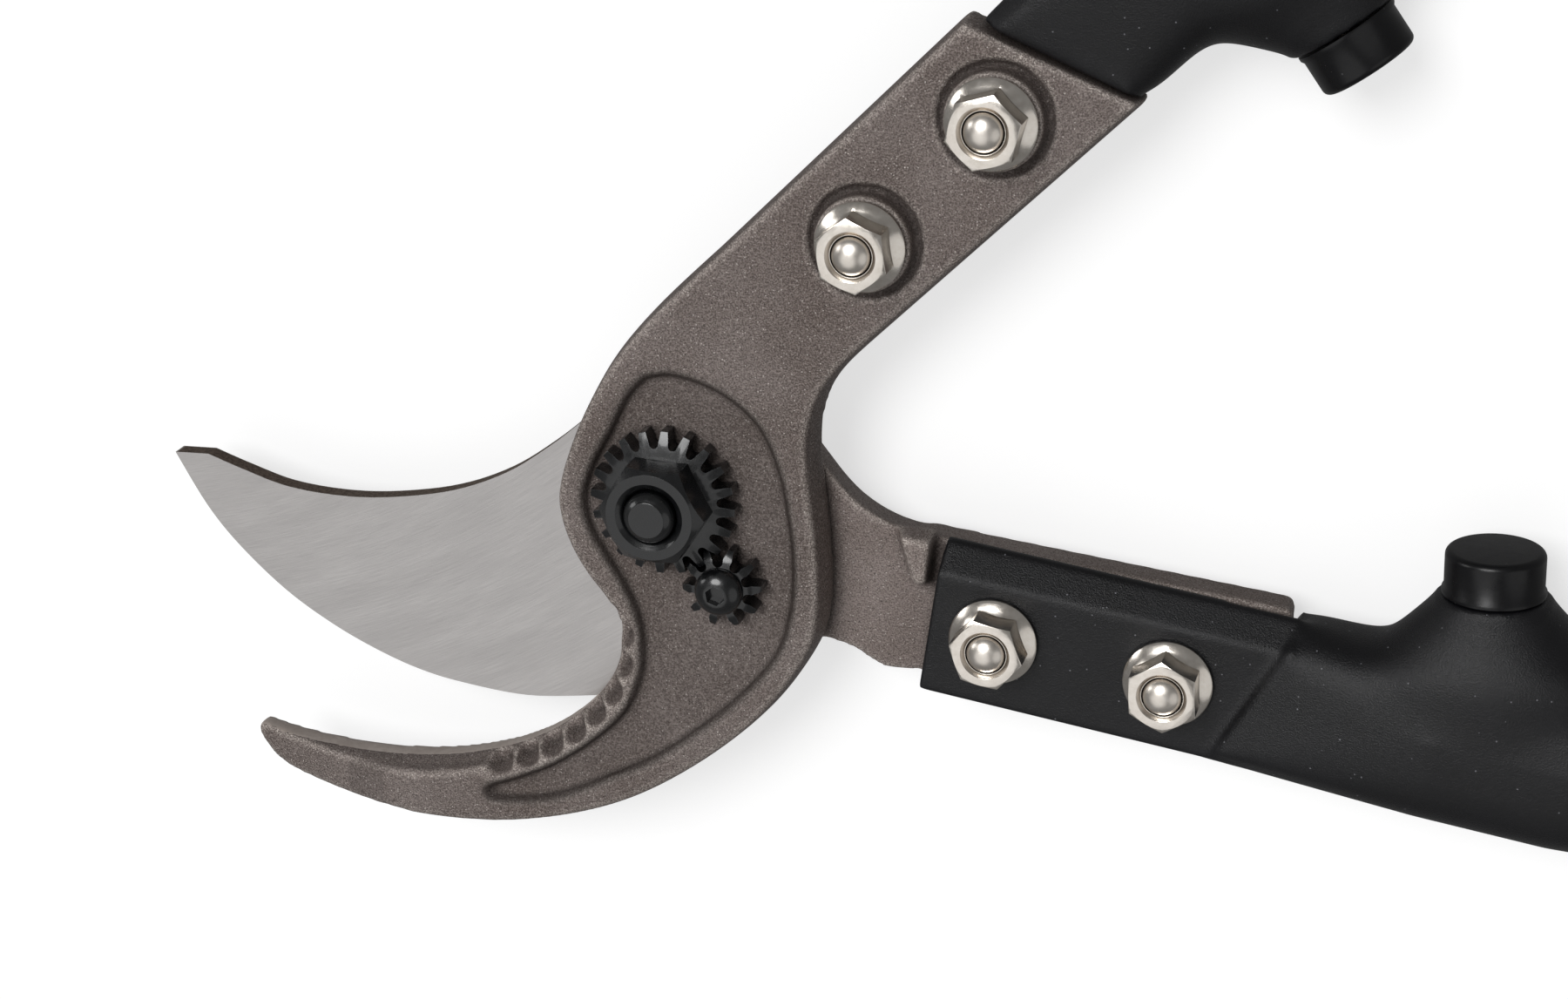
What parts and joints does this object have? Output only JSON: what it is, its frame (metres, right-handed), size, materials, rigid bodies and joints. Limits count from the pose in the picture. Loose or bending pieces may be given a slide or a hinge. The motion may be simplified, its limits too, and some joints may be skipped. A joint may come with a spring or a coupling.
{
  "type": "bypass lopper",
  "caption": "Two-handed bypass lopper with a ground blade, hooked counter blade, toothed pivot nut with lock pinion, bolted sockets with stop bumpers, tubular handles and rubber grips.",
  "frame": {"origin": "on the pivot axis, in the plane that the pivot bolt's head and both grips rest on", "axes": "+X from the pivot towards the handles, +Y towards the hook's handle, +Z along the pivot from the blade side to the hook side"},
  "size_m": [0.7353, 0.5797, 0.039],
  "materials": {
    "forged_steel": "shot-blasted and lacquered forging",
    "ground_steel": "surface ground",
    "blackened_steel": "oiled black oxide, gloss",
    "plated_steel": "bright nickel plate",
    "bronze": "turned",
    "coated_black": "fine textured powder coat",
    "tube_black": "satin powder coat",
    "rubber_black": "moulded",
    "grip_rubber": "ribbed, matt",
    "moulded_plastic": "satin"
  },
  "bodies": {
    "hook_arm": {"hook": "forged_steel", "lock_screw": "blackened_steel", "pivot_bolt": "blackened_steel", "pivot_bush": "bronze", "thrust_washer": "plated_steel", "upper_bumper": "rubber_black", "upper_bumper_stud": "plated_steel", "upper_collar": "moulded_plastic", "upper_end_cap": "moulded_plastic", "upper_grip": "grip_rubber", "upper_inner_bolt": "plated_steel", "upper_inner_nut": "plated_steel", "upper_outer_bolt": "plated_steel", "upper_outer_nut": "plated_steel", "upper_rivet_1": "blackened_steel", "upper_rivet_2": "blackened_steel", "upper_socket": "coated_black", "upper_tube": "tube_black"},
    "blade_arm": {"blade": "ground_steel", "lower_bumper": "rubber_black", "lower_bumper_stud": "plated_steel", "lower_collar": "moulded_plastic", "lower_end_cap": "moulded_plastic", "lower_grip": "grip_rubber", "lower_inner_bolt": "plated_steel", "lower_inner_nut": "plated_steel", "lower_outer_bolt": "plated_steel", "lower_outer_nut": "plated_steel", "lower_rivet_1": "blackened_steel", "lower_rivet_2": "blackened_steel", "lower_socket": "coated_black", "lower_tube": "tube_black"},
    "pivot_nut": {"pivot_nut": "blackened_steel"},
    "lock_pinion": {"lock_pinion": "blackened_steel"}
  },
  "joints": [
    {"name": "blade_pivot", "type": "hinge", "parent": "hook_arm", "child": "blade_arm", "pos_m": [0, 0, 0.016], "axis": [0, 0, 1], "range_deg": [-48, 34]},
    {"name": "pivot_nut_turn", "type": "hinge", "parent": "hook_arm", "child": "pivot_nut", "pos_m": [0, 0, 0.0265], "axis": [0, 0, 1], "range_deg": [-45, 45]},
    {"name": "lock_pinion_turn", "type": "hinge", "parent": "hook_arm", "child": "lock_pinion", "pos_m": [0.01228, -0.01703, 0.0265], "axis": [0, 0, 1], "range_deg": [-90, 90]}
  ],
  "couplings": [
    {"joint": "lock_pinion_turn", "follows": "pivot_nut_turn", "ratio": -2}
  ]
}
